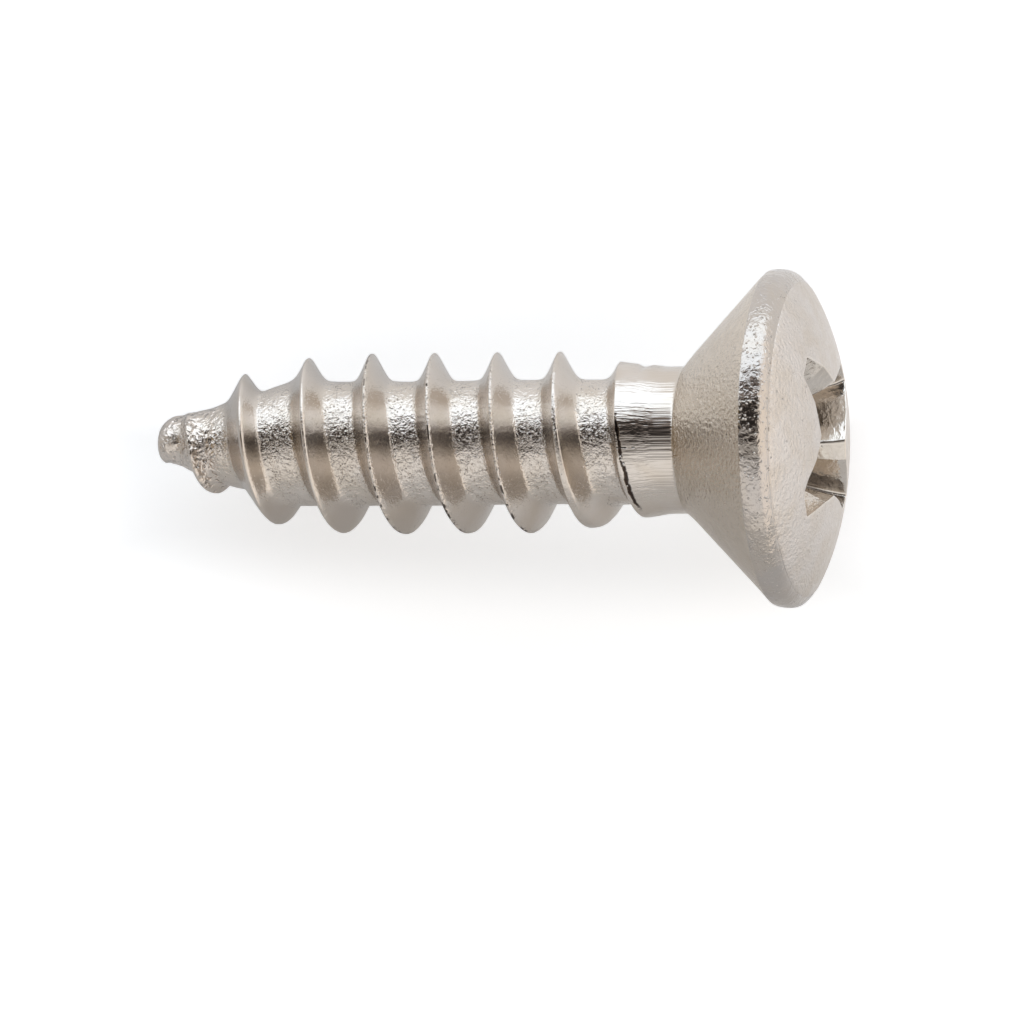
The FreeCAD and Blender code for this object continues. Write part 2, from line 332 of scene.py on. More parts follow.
    def unshifted(self, station: np.ndarray) -> np.ndarray:
        """Return the even helix's station for a true one."""
        first = station - smooth_table(station, self.shift_line)
        return station - smooth_table(first, self.shift_line)

    def surface(self, turned: np.ndarray, station: np.ndarray) -> tuple[np.ndarray, np.ndarray]:
        """Return points of the thread and their share of groove floor.

        Args:
            turned: angle round the axis, in radians.
            station: distance from the nose, in millimetres.

        Returns:
            An array of points in the screw's frame in millimetres, and the floor share.
        """
        radius, floor_share = self.shape(turned, station)
        uneven = self.ripple.at(turned, station) * ease(station, *self.ripple_begins)
        radius = radius + uneven * (1 - ease(station, *self.ripple_stops))
        radius = radius - self.notch.at(turned, station)
        points = row_of(radius * np.cos(turned) + self.drift(station), radius * np.sin(turned), station)
        return points, floor_share


@dataclass
class Head:
    """Plain shank, seat cone, land and dome: the part of the screw that is turned.

    The lines are pairs of station and radius.
    """

    shank_radius: float = 1.443
    shank_end: float = 10.66
    shank_rows: int = 5
    neck_line: Line = ((10.69, 1.4435), (10.715, 1.4465), (10.735, 1.4525), (10.752, 1.463))
    seat_line: Line = ((10.77, 1.482), (12.485, 3.2757))
    seat_rows: int = 17
    land_line: Line = (
        (12.492, 3.281), (12.51, 3.287), (12.54, 3.294), (12.58, 3.300), (12.63, 3.3045),
        (12.69, 3.3055), (12.75, 3.303), (12.79, 3.297), (12.83, 3.287), (12.87, 3.270),
        (12.91, 3.244), (12.95, 3.207), (12.985, 3.168), (13.015, 3.129), (13.034, 3.103),
        (13.0385, 3.088), (13.052, 3.078),
    )
    dome_top: float = 13.784
    dome_rise: float = 2.0
    dome_reach: float = 4.0
    dome_edge: float = 3.068
    dome_rows: int = 9
    blend_radius: float = 2.35

    def dome(self, radius: np.ndarray) -> np.ndarray:
        """Return the dome's station at a distance from the axis."""
        return self.dome_top - self.dome_rise * (1 - np.sqrt(1 - (radius / self.dome_reach) ** 2))

    def outline(self, thread_end: float) -> list[tuple[float, float, Zone]]:
        """Return the rows from the thread's end to the dome's outer part.

        Args:
            thread_end: the station at which the threaded rows stop.

        Returns:
            Radius, station and zone of each row, the first one on the shank.
        """
        rows = [(self.shank_radius, station, Zone.SHANK)
                for station in np.linspace(thread_end, self.shank_end, self.shank_rows + 1)[1:]]
        rows += [(radius, station, Zone.SHANK) for station, radius in self.neck_line]
        (first, low), (last, high) = self.seat_line
        for share in np.linspace(0, 1, self.seat_rows):
            rows.append((low + (high - low) * share, first + (last - first) * share, Zone.SEAT))
        rows += [(radius, station, Zone.LAND) for station, radius in self.land_line]
        for radius in np.linspace(self.dome_edge, self.blend_radius, self.dome_rows):
            rows.append((radius, float(self.dome(radius)), Zone.DOME))
        return rows


@dataclass
class Draft:
    """The recess's outline at every level between the dome's top and a lower plan."""

    top: float
    low: float
    top_plan: np.ndarray
    low_plan: np.ndarray

    def at(self, level: np.ndarray) -> np.ndarray:
        """Return the outline's points, each at its own column's level."""
        share = ((self.top - level) / (self.top - self.low))[:, None]
        return self.top_plan * (1 - share) + self.low_plan * share


@dataclass
class CrossRecess:
    """The driver's recess: four wings round a core with drafted facets.

    The mouth has five corners for each wing, as x and y at the dome and the slope inward: two
    at the wing's end, one at its foot, the ridge between two wings, and the next wing's foot.
    """

    turn_deg: float = 49.5
    centre: Span = (0.0, 0.28)
    mouth: tuple[tuple[float, float, float], ...] = (
        (1.557, 1.446, 0.60), (1.19, 1.775, 0.50), (0.66, 1.45, 0.10), (0.0, 1.235, 0.10),
        (-0.46, 1.45, 0.10), (-1.03, 1.92, 0.50), (-1.527, 1.572, 0.70), (-1.26, 0.72, 0.62),
        (-1.15, 0.22, 0.35), (-1.25, -0.28, 0.10), (-1.45, -1.10, 0.50), (-1.12, -1.42, 0.50),
        (-0.47, -0.66, 0.35), (-0.10, -0.48, 0.35), (0.30, -0.74, 0.35), (1.12, -1.42, 0.50),
        (1.45, -1.10, 0.50), (1.20, -0.28, 0.15), (1.04, 0.15, 0.50), (1.35, 0.72, 0.70),
    )
    ridge: int = 3
    side_points: tuple[int, ...] = (6, 9, 10, 10, 9)
    corner_points: int = 4
    corner_round: float = 0.06
    ridge_round: float = 0.08
    longest_round: float = 0.3
    low_level: float = 12.0
    floor_slope: float = math.tan(math.radians(28))
    tip: float = 11.162
    lip: float = 0.03
    lip_angles_deg: tuple[float, ...] = (25, 50, 72, 90)
    dome_rows: int = 9
    wall_shares: tuple[float, ...] = (0.08, 0.2, 0.35, 0.55, 0.78, 1.0)
    floor_shares: tuple[float, ...] = (0.8, 0.6, 0.4, 0.25, 0.12)
    passes: int = 8

    def corners(self, level: float, head: Head) -> np.ndarray:
        """Return the corners of the recess at a level.

        Args:
            level: station of the plan.
            head: the head that the recess is cut into.

        Returns:
            Corners round the recess's centre. Each leans inward with depth by its own slope.
        """
        mouth, slope = np.array(self.mouth)[:, :2], np.array(self.mouth)[:, 2]
        rise = level - head.dome(np.linalg.norm(mouth, axis=1))
        corners = mouth - self.centre
        outward = corners / np.linalg.norm(corners, axis=1)[:, None]
        return corners + outward * (slope * rise)[:, None]

    def rounding(self, number: int, half: float) -> float:
        """Return the radius that rounds a corner, given half its angle."""
        wanted = self.ridge_round if number % len(self.side_points) == self.ridge else self.corner_round
        return min(wanted, self.longest_round * math.tan(half))

    @staticmethod
    def half_angle(corners: np.ndarray, number: int) -> float:
        """Return half the angle between the two sides that meet at a corner.

        Args:
            corners: the corners in order.
            number: which corner.

        Returns:
            The half angle in radians.
        """
        into = corners[number - 1] - corners[number]
        out = corners[(number + 1) % len(corners)] - corners[number]
        return math.acos(np.clip(into @ out / np.linalg.norm(into) / np.linalg.norm(out), -1, 1)) / 2

    def arc(self, corners: np.ndarray, number: int) -> tuple[list[np.ndarray], np.ndarray, np.ndarray]:
        """Round one corner.

        Args:
            corners: the corners in order.
            number: which corner.

        Returns:
            The arc's points, the start of the side after it and that side's direction.
        """
        before, corner, after = corners[number - 1], corners[number], corners[(number + 1) % len(corners)]
        into = (before - corner) / np.linalg.norm(before - corner)
        out = (after - corner) / np.linalg.norm(after - corner)
        half = math.acos(np.clip(into @ out, -1, 1)) / 2
        size = self.rounding(number, half)
        reach = size / math.tan(half)
        middle = (into + out) / np.linalg.norm(into + out)
        centre = corner + middle * size / math.sin(half)
        first, last = corner + into * reach - centre, corner + out * reach - centre
        sweep = math.pi - 2 * half
        points = []
        for share in np.linspace(0, 1, self.corner_points):
            swung = math.sin((1 - share) * sweep) * first + math.sin(share * sweep) * last
            points.append(centre + swung / math.sin(sweep))
        return points, corner + out * reach, out

    def plan(self, level: float, head: Head) -> np.ndarray:
        """Return the recess's outline at a level, one point for each column.

        Args:
            level: station of the outline.
            head: the head that the recess is cut into.

        Returns:
            Points in the screw's cross-section, the first at the middle of a wing's end.
        """
        corners = self.corners(level, head)
        points: list[np.ndarray] = []
        for number in range(len(corners)):
            following = (number + 1) % len(corners)
            arc, begin, way = self.arc(corners, number)
            half_next = self.half_angle(corners, following)
            size_next = self.rounding(following, half_next)
            finish = corners[following] - way * size_next / math.tan(half_next)
            inner = self.side_points[number % len(self.side_points)]
            points += arc
            for share in np.linspace(0, 1, inner + 2)[1:-1]:
                points.append(begin + (finish - begin) * share)
        return np.roll(np.array(points), -(self.corner_points + self.side_points[0] // 2), axis=0)

    def draft(self, head: Head) -> Draft:
        """Return the walls of the recess, turned to its place.

        Args:
            head: the head that the recess is cut into.

        Returns:
            The outline at every level, round the recess's centre.
        """
        shift = int(round(math.radians(self.turn_deg) / TURN * COLUMNS))
        top_plan = np.roll(self.plan(head.dome_top, head), shift, axis=0)
        low_plan = np.roll(self.plan(self.low_level, head), shift, axis=0)
        return Draft(head.dome_top, self.low_level, top_plan, low_plan)

    def levels(self, draft: Draft, head: Head) -> tuple[np.ndarray, np.ndarray]:
        """Find where the walls meet the dome and the floor.

        Args:
            draft: the walls.
            head: the head that the recess is cut into.

        Returns:
            The station of the mouth and of the floor's edge at each column.
        """
        middle = np.array(self.centre)
        mouth_level = np.full(COLUMNS, draft.top)
        floor_level = np.full(COLUMNS, draft.low)
        for _ in range(self.passes):
            mouth_level = head.dome(np.linalg.norm(draft.at(mouth_level) + middle, axis=1))
            floor_level = self.tip + np.linalg.norm(draft.at(floor_level), axis=1) * self.floor_slope
        return mouth_level, floor_level

    def dome_part(self, head: Head, ring: np.ndarray, edge: np.ndarray) -> list[tuple[np.ndarray, Zone]]:
        """Return the rows on the dome that blend its round rows into the recess's edge.

        Args:
            head: the head that the recess is cut into.
            ring: angle of each column, in radians.
            edge: the outer edge of the lip, one point for each column.

        Returns:
            Points of each row in millimetres with the row's zone.
        """
        edge_radius = np.linalg.norm(edge, axis=1)
        turn = (np.arctan2(edge[:, 1], edge[:, 0]) - ring + math.pi) % TURN - math.pi
        rows = []
        for share in np.linspace(0, 1, self.dome_rows + 1)[1:]:
            radius = head.blend_radius + (edge_radius - head.blend_radius) * share
            angle = ring + turn * share
            row = row_of(radius * np.cos(angle), radius * np.sin(angle), head.dome(radius))
            rows.append((row, Zone.DOME))
        return rows

    def rows(self, head: Head, ring: np.ndarray) -> list[tuple[np.ndarray, Zone]]:
        """Return the rows from the dome's ring over lip, walls and floor to the recess's bottom.

        Args:
            head: the head that the recess is cut into.
            ring: angle of each column, in radians.

        Returns:
            Points of each row in millimetres with the row's zone.
        """
        draft = self.draft(head)
        middle = np.array(self.centre)
        mouth_level, floor_level = self.levels(draft, head)
        mouth, foot = draft.at(mouth_level), draft.at(floor_level)
        along = np.roll(mouth, -1, axis=0) - np.roll(mouth, 1, axis=0)
        normal = np.stack([along[:, 1], -along[:, 0]], -1)
        normal /= np.linalg.norm(normal, axis=1)[:, None]
        rows = self.dome_part(head, ring, mouth + normal * self.lip + middle)
        for theta in np.radians(self.lip_angles_deg):
            spot = mouth + normal * self.lip * (1 - math.sin(theta)) + middle
            level = head.dome(np.linalg.norm(spot, axis=1)) - self.lip * (1 - math.cos(theta))
            rows.append((row_of(*spot.T, level), Zone.RECESS))
        start = mouth_level - self.lip
        for share in self.wall_shares:
            level = start + (floor_level - start) * share
            rows.append((row_of(*(draft.at(level) + middle).T, level), Zone.RECESS))
        for share in self.floor_shares:
            level = self.tip + np.linalg.norm(foot * share, axis=1) * self.floor_slope
            rows.append((row_of(*(foot * share + middle).T, level), Zone.RECESS))
        return rows


class SkinMesh:
    """Collects the rows of the skin and joins them into one closed mesh."""

    def __init__(self) -> None:
        """Start with no points."""
        self.points: list[np.ndarray] = []
        self.floor: list[np.ndarray] = []
        self.count = 0
        self.faces: list[tuple[int, ...]] = []
        self.zones: list[int] = []

    def add(self, points: np.ndarray, floor: np.ndarray | None = None) -> np.ndarray:
        """Add points and return their numbers.

        Args:
            points: an array of points in the screw's frame, in millimetres.
            floor: their share of groove floor, 0 if it is left out.

        Returns:
            The numbers of the points.
        """
        self.points.append(points)
        self.floor.append(np.zeros(len(points)) if floor is None else floor)
        numbers = np.arange(self.count, self.count + len(points))
        self.count += len(points)
        return numbers

    def band(self, lower: np.ndarray, upper: np.ndarray, zone: Zone) -> None:
        """Join two rows that run the same way round with a band of faces.

        Args:
            lower: point numbers of the row nearer the nose.
            upper: point numbers of the row nearer the head's top.
            zone: the finish of the faces.
        """
        following = np.roll(np.arange(len(lower)), -1)
        for here, after in enumerate(following):
            self.face(lower[here], lower[after], upper[after], upper[here], zone)

    def fan(self, row: np.ndarray, pole: int, zone: Zone, outward_up: bool) -> None:
        """Close the mesh with a fan from a row to one point.

        Args:
            row: point numbers of the row.
            pole: number of the point.
            zone: the finish of the faces.
            outward_up: whether the faces look towards the head's top.
        """
        following = np.roll(np.arange(len(row)), -1)
        for here, after in enumerate(following):
            first, second = (row[here], row[after]) if outward_up else (row[after], row[here])
            self.face(first, second, pole, pole, zone)

    def face(self, a: int, b: int, c: int, d: int, zone: Zone) -> None:
        """Add one face and drop the corners that fall together.

        Args:
            a: number of the first corner.
            b: number of the second corner.
            c: number of the third corner.
            d: number of the fourth corner.
            zone: the finish of the face.
        """
        corners = [a]
        for corner in (b, c, d):
            if corner != corners[-1] and corner != a:
                corners.append(corner)
        if len(corners) > 2:
            self.faces.append(tuple(int(corner) for corner in corners))
            self.zones.append(zone.value)


@dataclass
class Screw:
    """The whole screw: one closed skin with a finish for each of its zones.

    The nose's rows are pairs of station and radius. A winding row that comes within the join
    gap of a plain ring at the thread's ends becomes part of that ring.
    """

    thread: Thread = field(default_factory=Thread)
    head: Head = field(default_factory=Head)
    recess: CrossRecess = field(default_factory=CrossRecess)
    pose: Pose = field(default_factory=Pose)
    nose_rows: Line = (
        (0.004, 0.10), (0.012, 0.18), (0.028, 0.25), (0.055, 0.315), (0.09, 0.365), (0.14, 0.405),
    )
    nose_end: float = 1.3
    shank_from_turn: float = 6.88
    join_gap: float = 0.008
    sharp_deg: float = 38.0

    def zone_at(self, count: float, station: float) -> Zone:
        """Return the zone of a face of the threaded part.

        Args:
            count: how many turns its crest lies from the first one.
            station: its distance from the nose, in millimetres.

        Returns:
            The nose, the thread or the shank.
        """
        if station < self.nose_end:
            return Zone.NOSE
        return Zone.SHANK if count > self.shank_from_turn else Zone.THREAD

    def add_thread(self, skin: SkinMesh, ring: np.ndarray) -> tuple[np.ndarray, np.ndarray]:
        """Build the threaded part from rows that wind with the crest.

        The last column joins the first one a pitch further on.

        Args:
            skin: the mesh to add to.
            ring: angle of each column, in radians.

        Returns:
            The point numbers of its first and last plain rings.
        """
        thread = self.thread
        first, first_floor = thread.surface(ring, np.full(COLUMNS, thread.start))
        last, last_floor = thread.surface(ring, np.full(COLUMNS, thread.end))
        start_ring, end_ring = skin.add(first, first_floor), skin.add(last, last_floor)
        spacing = thread.spacing()
        lowest = math.floor((thread.start - thread.first_crest) / thread.pitch - 1)
        highest = math.ceil((thread.end - thread.first_crest) / thread.pitch)
        counts = np.concatenate([turn + spacing for turn in range(lowest, highest + 1)])
        turned = np.broadcast_to(ring[:, None], (COLUMNS, len(counts)))
        station = thread.shifted(thread.first_crest + thread.pitch * (counts[None, :] + turned / TURN))
        below = station <= thread.start + self.join_gap
        above = station >= thread.end - self.join_gap
        inside = ~below & ~above
        numbers = np.where(below, start_ring[:, None], end_ring[:, None])
        points, floor = thread.surface(turned[inside], station[inside])
        numbers[inside] = skin.add(points, floor)
        past_end = np.full(len(spacing), end_ring[0])
        joined = np.vstack([numbers, np.concatenate([numbers[0][len(spacing):], past_end])])
        for column in range(COLUMNS):
            here, beside = joined[column], joined[column + 1]
            for row in range(len(counts) - 1):
                zone = self.zone_at(counts[row], station[column, row])
                skin.face(here[row], beside[row], beside[row + 1], here[row + 1], zone)
        return start_ring, end_ring

    def add_nose(self, skin: SkinMesh, ring: np.ndarray, start_ring: np.ndarray) -> None:
        """Close the skin at the nose.

        Args:
            skin: the mesh to add to.
            ring: angle of each column, in radians.
            start_ring: point numbers of the thread's first plain ring.
        """
        upper = start_ring
        for station, radius in reversed(self.nose_rows):
            drift = float(self.thread.drift(np.array(station)))
            row = row_of(radius * np.cos(ring) + drift, radius * np.sin(ring), np.full(COLUMNS, station))
            lower = skin.add(row)
            skin.band(lower, upper, Zone.NOSE)
            upper = lower
        pole = skin.add(np.array([[float(self.thread.drift(np.array(0.0))), 0.0, 0.0]]))[0]
        skin.fan(upper, pole, Zone.NOSE, False)

    def add_head(self, skin: SkinMesh, ring: np.ndarray, end_ring: np.ndarray) -> None:
        """Add the shank, the head and the recess, and close the skin at the recess's bottom.

        Args:
            skin: the mesh to add to.
            ring: angle of each column, in radians.
            end_ring: point numbers of the thread's last plain ring.
        """
        lower = end_ring
        rows = [(row_of(radius * np.cos(ring), radius * np.sin(ring), np.full(COLUMNS, station)), zone)
                for radius, station, zone in self.head.outline(self.thread.end)]
        rows += self.recess.rows(self.head, ring)
        for points, zone in rows:
            points[:, 0] += self.thread.drift(points[:, 2])
            upper = skin.add(points)
            skin.band(lower, upper, zone)
            lower = upper
        pole = skin.add(np.array([[*self.recess.centre, self.recess.tip]]))[0]
        skin.fan(lower, pole, Zone.RECESS, True)

    def build(self) -> bpy.types.Object:
        """Build the closed skin.

        Returns:
            Its object, which lies on the table and has no finish yet.
        """
        skin = SkinMesh()
        ring = np.arange(COLUMNS) * TURN / COLUMNS
        start_ring, end_ring = self.add_thread(skin, ring)
        self.add_nose(skin, ring, start_ring)
        self.add_head(skin, ring, end_ring)
        return self.make_object(skin)

    def make_object(self, skin: SkinMesh) -> bpy.types.Object:
        """Turn the collected rows into an object that lies on the table.

        Args:
            skin: the rows and their faces.

        Returns:
            The object. Its mesh keeps each point's place on the screw and share of groove floor.
        """
        local = np.concatenate(skin.points)
        mesh = bpy.data.meshes.new("screw_skin")
        mesh.from_pydata((local * MM).tolist(), [], skin.faces)
        mesh.transform(self.pose.matrix())
        mesh.polygons.foreach_set("material_index", skin.zones)
        mesh.shade_smooth()
        mesh.set_sharp_from_angle(angle=math.radians(self.sharp_deg))
        place = mesh.attributes.new("screw_mm", "FLOAT_VECTOR", "POINT")
        place.data.foreach_set("vector", local.astype(np.float32).ravel())
        floor = mesh.attributes.new("groove_floor", "FLOAT", "POINT")
        floor.data.foreach_set("value", np.concatenate(skin.floor).astype(np.float32))
        mesh.update()
        screw = bpy.data.objects.new("screw_skin", mesh)
        bpy.context.scene.collection.objects.link(screw)
        return screw

    @staticmethod
    def dress(skin: bpy.types.Object) -> None:
        """Give every zone its finish, in the order of the zones' numbers."""
        for zone in Zone:
            skin.data.materials.append(FINISHES[zone].material())


class NodeDesk:
    """Short calls for making the nodes of one material or world."""

    def __init__(self, tree: bpy.types.NodeTree) -> None:
        """Clear the tree and keep it."""
        self.tree = tree
        tree.nodes.clear()

    def node(self, kind: str, **values: object) -> bpy.types.Node:
        """Add a node.

        Args:
            kind: the node's type.
            values: its properties.

        Returns:
            The node.
        """
        made = self.tree.nodes.new(kind)
        for name, value in values.items():
            setattr(made, name, value)
        return made

    def link(self, source: Socket, target: Socket) -> None:
        """Join two sockets."""
        self.tree.links.new(source, target)

    def feed(self, node: bpy.types.Node, **inputs: Value) -> bpy.types.Node:
        """Set or link the inputs of a node.

        Args:
            node: the node.
            inputs: values or sockets by the input's name, with underscores for spaces, or by
                its number after one underscore.

        Returns:
            The same node.
        """
        for name, value in inputs.items():
            key = int(name[1:]) if name[1:].isdigit() else name.replace("_", " ")
            socket = node.inputs[key]
            if isinstance(value, Socket):
                self.link(value, socket)
            else:
                socket.default_value = value
        return node

    def math(self, operation: str, a: Value, b: Value = 0.0) -> Socket:
        """Return the result of a sum on one or two values."""
        return self.feed(self.node("ShaderNodeMath", operation=operation), _0=a, _1=b).outputs[0]

    def add(self, a: Value, b: Value) -> Socket:
        """Return the sum of two values."""
        return self.math("ADD", a, b)

    def times(self, a: Value, b: Value) -> Socket:
        """Return the product of two values."""
        return self.math("MULTIPLY", a, b)

    def larger(self, a: Value, b: Value) -> Socket:
        """Return the larger of two values."""
        return self.math("MAXIMUM", a, b)

    def ramp(self, value: Value, low: float, high: float, to_low: float = 0.0,
             to_high: float = 1.0) -> Socket:
        """Return a value mapped smoothly from one range to another."""
        made = self.node("ShaderNodeMapRange", interpolation_type="SMOOTHSTEP")
        return self.feed(made, _0=value, _1=low, _2=high, _3=to_low, _4=to_high).outputs[0]

    def fall(self, value: Value, low: float, high: float) -> Socket:
        """Return a smooth fall from 1 at the low value to 0 at the high one."""
        return self.ramp(value, low, high, 1.0, 0.0)

    def noise(self, place: Socket, scale: float, detail: float = 2.0, twist: float = 0.0) -> Socket:
        """Return a cloudy pattern."""
        made = self.node("ShaderNodeTexNoise", normalize=True)
        return self.feed(made, Vector=place, Scale=scale, Detail=detail, Distortion=twist).outputs[0]

    def cells(self, place: Socket, scale: float) -> Socket:
        """Return the distance from the nearest of many scattered points."""
        made = self.node("ShaderNodeTexVoronoi", feature="F1")
        return self.feed(made, Vector=place, Scale=scale).outputs[0]

    def stretch(self, place: Socket, scale: tuple[float, float, float],
                turn: tuple[float, float, float] = (0, 0, 0)) -> Socket:
        """Return a place scaled and turned."""
        made = self.node("ShaderNodeMapping")
        return self.feed(made, Vector=place, Scale=scale, Rotation=turn).outputs[0]

    def mix(self, share: Value, a: Value, b: Value) -> Socket:
        """Return a blend of two colours."""
        made = self.node("ShaderNodeMix", data_type="RGBA")
        return self.feed(made, _0=share, _6=a, _7=b).outputs[2]

    def place(self) -> Socket:
        """Return the point's place in the screw's own frame, in millimetres."""
        return self.node("ShaderNodeAttribute", attribute_name="screw_mm").outputs["Vector"]

    def parts(self, vector: Socket) -> bpy.types.NodeOutputs:
        """Return the three parts of a vector."""
        return self.feed(self.node("ShaderNodeSeparateXYZ"), Vector=vector).outputs


def linear(red: int, green: int, blue: int) -> Light:
    """Return a display colour as a linear one, by the usual curve of a screen.

    Args:
        red: its red, from 0 to 255.
        green: its green, from 0 to 255.
        blue: its blue, from 0 to 255.

    Returns:
        The linear colour, opaque.
    """
    shares = [level / 255 for level in (red, green, blue)]
    lit = [share / 12.92 if share <= 0.04045 else ((share + 0.055) / 1.055) ** 2.4 for share in shares]
    return lit[0], lit[1], lit[2], 1.0


@dataclass(frozen=True)
class Beads:
    """Small round beads that show only where another pattern is high."""

    edge: Span = (0.10, 0.34)
    patch: Span = (0.45, 0.6)

    def share(self, desk: NodeDesk, place: Socket, scale: float, choice: Socket) -> Socket:
        """Return 1 on the beads and 0 between them."""
        bead = desk.fall(desk.cells(place, scale), *self.edge)
        return desk.times(bead, desk.ramp(choice, *self.patch))


@dataclass(frozen=True)
class Cracks:
    """A few hairline cracks."""

    scale: float = 2.6
    edge: Span = (0.004, 0.012)
    patch_scale: float = 2.1
    patch: Span = (0.55, 0.62)

    def share(self, desk: NodeDesk, place: Socket) -> Socket:
        """Return 1 along the cracks and 0 elsewhere.

        Args:
            desk: the material's nodes.
            place: the point's place on the screw.

        Returns:
            The share of crack.
        """
        bend = desk.add(desk.noise(place, self.scale, detail=3.0, twist=0.8), -0.5)
        line = desk.fall(desk.math("ABSOLUTE", bend), *self.edge)
        return desk.times(line, desk.ramp(desk.noise(place, self.patch_scale, detail=0.0), *self.patch))


@dataclass(frozen=True)
class Pits:
    """Small scattered pits."""

    scale: float = 5.5
    edge: Span = (0.07, 0.15)
    patch_scale: float = 3.1
    patch: Span = (0.5, 0.6)

    def share(self, desk: NodeDesk, place: Socket) -> Socket:
        """Return 1 in the pits and 0 elsewhere."""
        pit = desk.fall(desk.cells(place, self.scale), *self.edge)
        return desk.times(pit, desk.ramp(desk.noise(place, self.patch_scale, detail=1.0), *self.patch))


@dataclass(frozen=True)
class Pitted:
    """Fine orange peel with pits."""

    pits: Pits = Pits()
    pit_height: float = -1.2

    def height(self, desk: NodeDesk, place: Socket, scale: float) -> Socket:
        """Return the relief at a place, with so many features in a millimetre."""
        fine = desk.noise(place, scale, detail=3.0)
        return desk.add(fine, desk.times(self.pits.share(desk, place), self.pit_height))


@dataclass(frozen=True)
class Striated:
    """Fine and coarse lines drawn along the screw."""

    squeeze: float = 0.025
    finer: float = 3.4
    fine_height: float = 0.6
    coarse_height: float = 0.5

    def height(self, desk: NodeDesk, place: Socket, scale: float) -> Socket:
        """Return the relief.

        Args:
            desk: the material's nodes.
            place: the point's place on the screw.
            scale: features in a millimetre.

        Returns:
            A height from about 0 to 1.
        """
        lines = desk.stretch(place, (1.0, 1.0, self.squeeze))
        fine = desk.noise(lines, scale * self.finer, detail=2.0)
        coarse = desk.noise(lines, scale, detail=1.0)
        return desk.add(desk.times(fine, self.fine_height), desk.times(coarse, self.coarse_height))


@dataclass(frozen=True)
class Wrinkled:
    """Small and large wrinkles with sunken beads and hairline cracks."""

    coarser: float = 0.33
    small_height: float = 0.5
    large_height: float = 0.5
    beads: Beads = Beads()
    bead_height: float = -0.45
    cracks: Cracks = Cracks()
    crack_height: float = -0.5

    def height(self, desk: NodeDesk, place: Socket, scale: float) -> Socket:
        """Return the relief.

        Args:
            desk: the material's nodes.
            place: the point's place on the screw.
            scale: features in a millimetre.

        Returns:
            A height from about 0 to 1.
        """
        small = desk.noise(place, scale, detail=2.0, twist=0.6)
        large = desk.noise(place, scale * self.coarser, detail=2.0, twist=0.4)
        rough = desk.add(desk.times(small, self.small_height), desk.times(large, self.large_height))
        rough = desk.add(rough, desk.times(self.beads.share(desk, place, scale, small), self.bead_height))
        return desk.add(rough, desk.times(self.cracks.share(desk, place), self.crack_height))


@dataclass(frozen=True)
class Blotchy:
    """Flat blotches with raised beads."""

    coarser: float = 0.25
    small_height: float = 0.45
    large_height: float = 0.8
    beads: Beads = Beads()
    bead_height: float = 0.5

    def height(self, desk: NodeDesk, place: Socket, scale: float) -> Socket:
        """Return the relief.

        Args:
            desk: the material's nodes.
            place: the point's place on the screw.
            scale: features in a millimetre.

        Returns:
            A height from about 0 to 1.
        """
        small = desk.noise(place, scale, detail=2.0, twist=0.8)
        large = desk.noise(place, scale * self.coarser, detail=1.0, twist=0.3)
        even = desk.add(desk.times(small, self.small_height), desk.times(large, self.large_height))
        return desk.add(even, desk.times(self.beads.share(desk, place, scale, small), self.bead_height))


@dataclass(frozen=True)
class Combed:
    """Slanting tool lines, as a punch leaves them."""

    squeeze: float = 0.2
    turn: float = 0.76

    def height(self, desk: NodeDesk, place: Socket, scale: float) -> Socket:
        """Return the relief at a place, with so many features in a millimetre."""
        lines = desk.stretch(place, (self.squeeze, 1.0, 1.0), (0, 0, self.turn))
        return desk.noise(lines, scale, detail=3.0, twist=0.3)


class Grain(Enum):
    """The kinds of fine relief in the plating."""

    PITTED = Pitted()
    BLOTCHY = Blotchy()
    STRIATED = Striated()
    WRINKLED = Wrinkled()
    COMBED = Combed()


